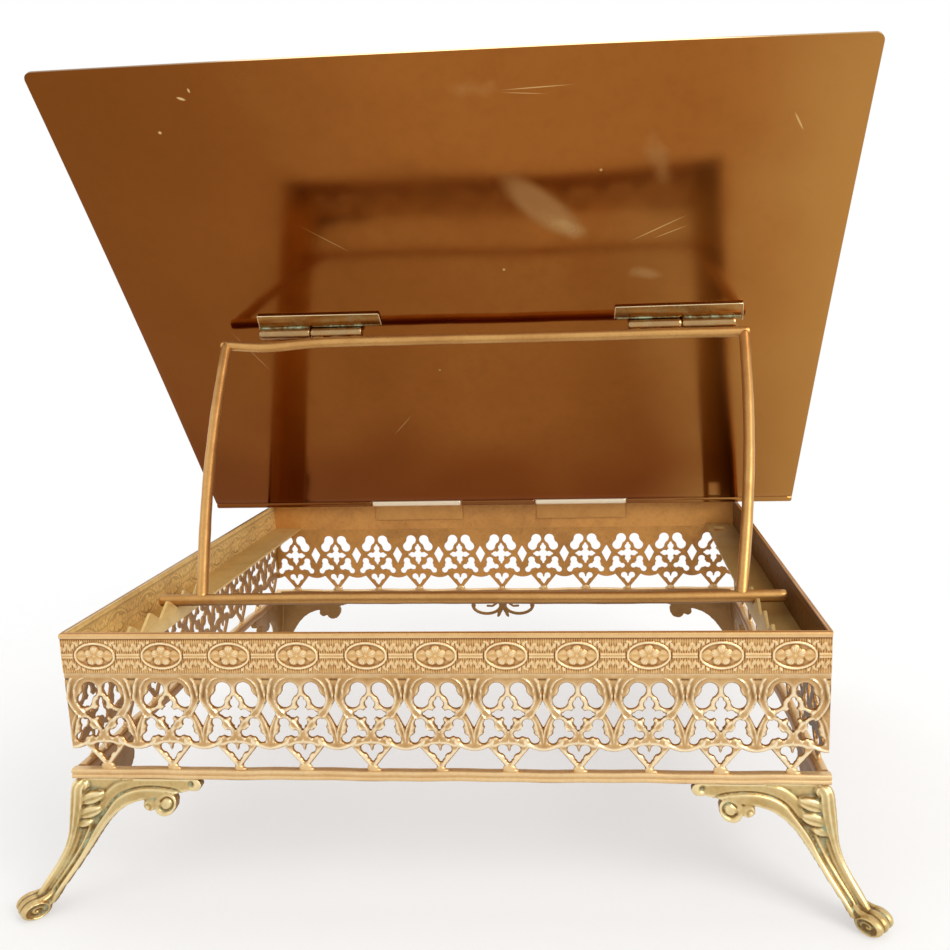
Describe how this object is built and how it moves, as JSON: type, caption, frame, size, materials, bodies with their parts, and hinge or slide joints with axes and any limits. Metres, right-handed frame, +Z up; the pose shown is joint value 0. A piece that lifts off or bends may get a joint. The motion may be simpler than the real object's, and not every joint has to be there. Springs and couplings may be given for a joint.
{
  "type": "book stand",
  "caption": "Brass missal stand: a pierced gothic frame on scrolled cast legs, with a tilting polished plate held up by a hinged wire prop that stands in toothed racks.",
  "frame": {"origin": "on the floor, under the middle of the box round the whole stand", "axes": "+X to the reader's right along the plate's hinge, +Y from the front to the back, +Z up"},
  "size_m": [0.322, 0.2552, 0.3006],
  "materials": {
    "stamped_brass": "stamped relief, bright and worn on its high points, brown in its hollows",
    "pierced_brass": "cast and pierced, bright ridges over a brown ground, flat inner face",
    "rail_brass": "reeded strip, slightly wavy, with pale solder at its joints",
    "cast_brass": "sand-cast, pale greenish gold, verdigris in its grooves",
    "rack_brass": "rolled sheet, filed teeth, dull pale gold",
    "hinge_brass": "rolled sheet with solder and a little verdigris",
    "pin_brass": "drawn wire, dull",
    "plate_brass": "polished sheet, dark amber tarnish, scratches and smears",
    "rod_brass": "drawn rod, satin, hand-bent"
  },
  "bodies": {
    "frame": {"back_frieze": "stamped_brass", "front_frieze": "stamped_brass", "left_frieze": "stamped_brass", "right_frieze": "stamped_brass", "back_gallery": "pierced_brass", "front_gallery": "pierced_brass", "left_gallery": "pierced_brass", "right_gallery": "pierced_brass", "back_rail": "rail_brass", "front_rail": "rail_brass", "left_rail": "rail_brass", "right_rail": "rail_brass", "back_left_leg": "cast_brass", "back_right_leg": "cast_brass", "front_left_leg": "cast_brass", "front_right_leg": "cast_brass", "front_pendant": "cast_brass", "left_rack": "rack_brass", "right_rack": "rack_brass", "left_hinge_leaf": "hinge_brass", "right_hinge_leaf": "hinge_brass", "plate_hinge_pin": "pin_brass"},
    "plate": {"book_plate": "plate_brass", "book_ledge": "plate_brass", "left_prop_leaf": "hinge_brass", "right_prop_leaf": "hinge_brass", "left_prop_pin": "pin_brass", "right_prop_pin": "pin_brass"},
    "prop": {"left_prop_knuckle": "hinge_brass", "right_prop_knuckle": "hinge_brass", "prop_top_rod": "rod_brass", "left_prop_wire": "rod_brass", "right_prop_wire": "rod_brass", "prop_foot_rod": "rod_brass"}
  },
  "joints": [
    {"name": "plate_tilt", "type": "hinge", "parent": "frame", "child": "plate", "pos_m": [0, -0.1005, 0.1012], "axis": [1, 0, 0], "range_deg": [0, 46]},
    {"name": "prop_swing", "type": "hinge", "parent": "plate", "child": "prop", "pos_m": [0, -0.02612, 0.19796], "axis": [1, 0, 0], "range_deg": [0, 90]}
  ]
}
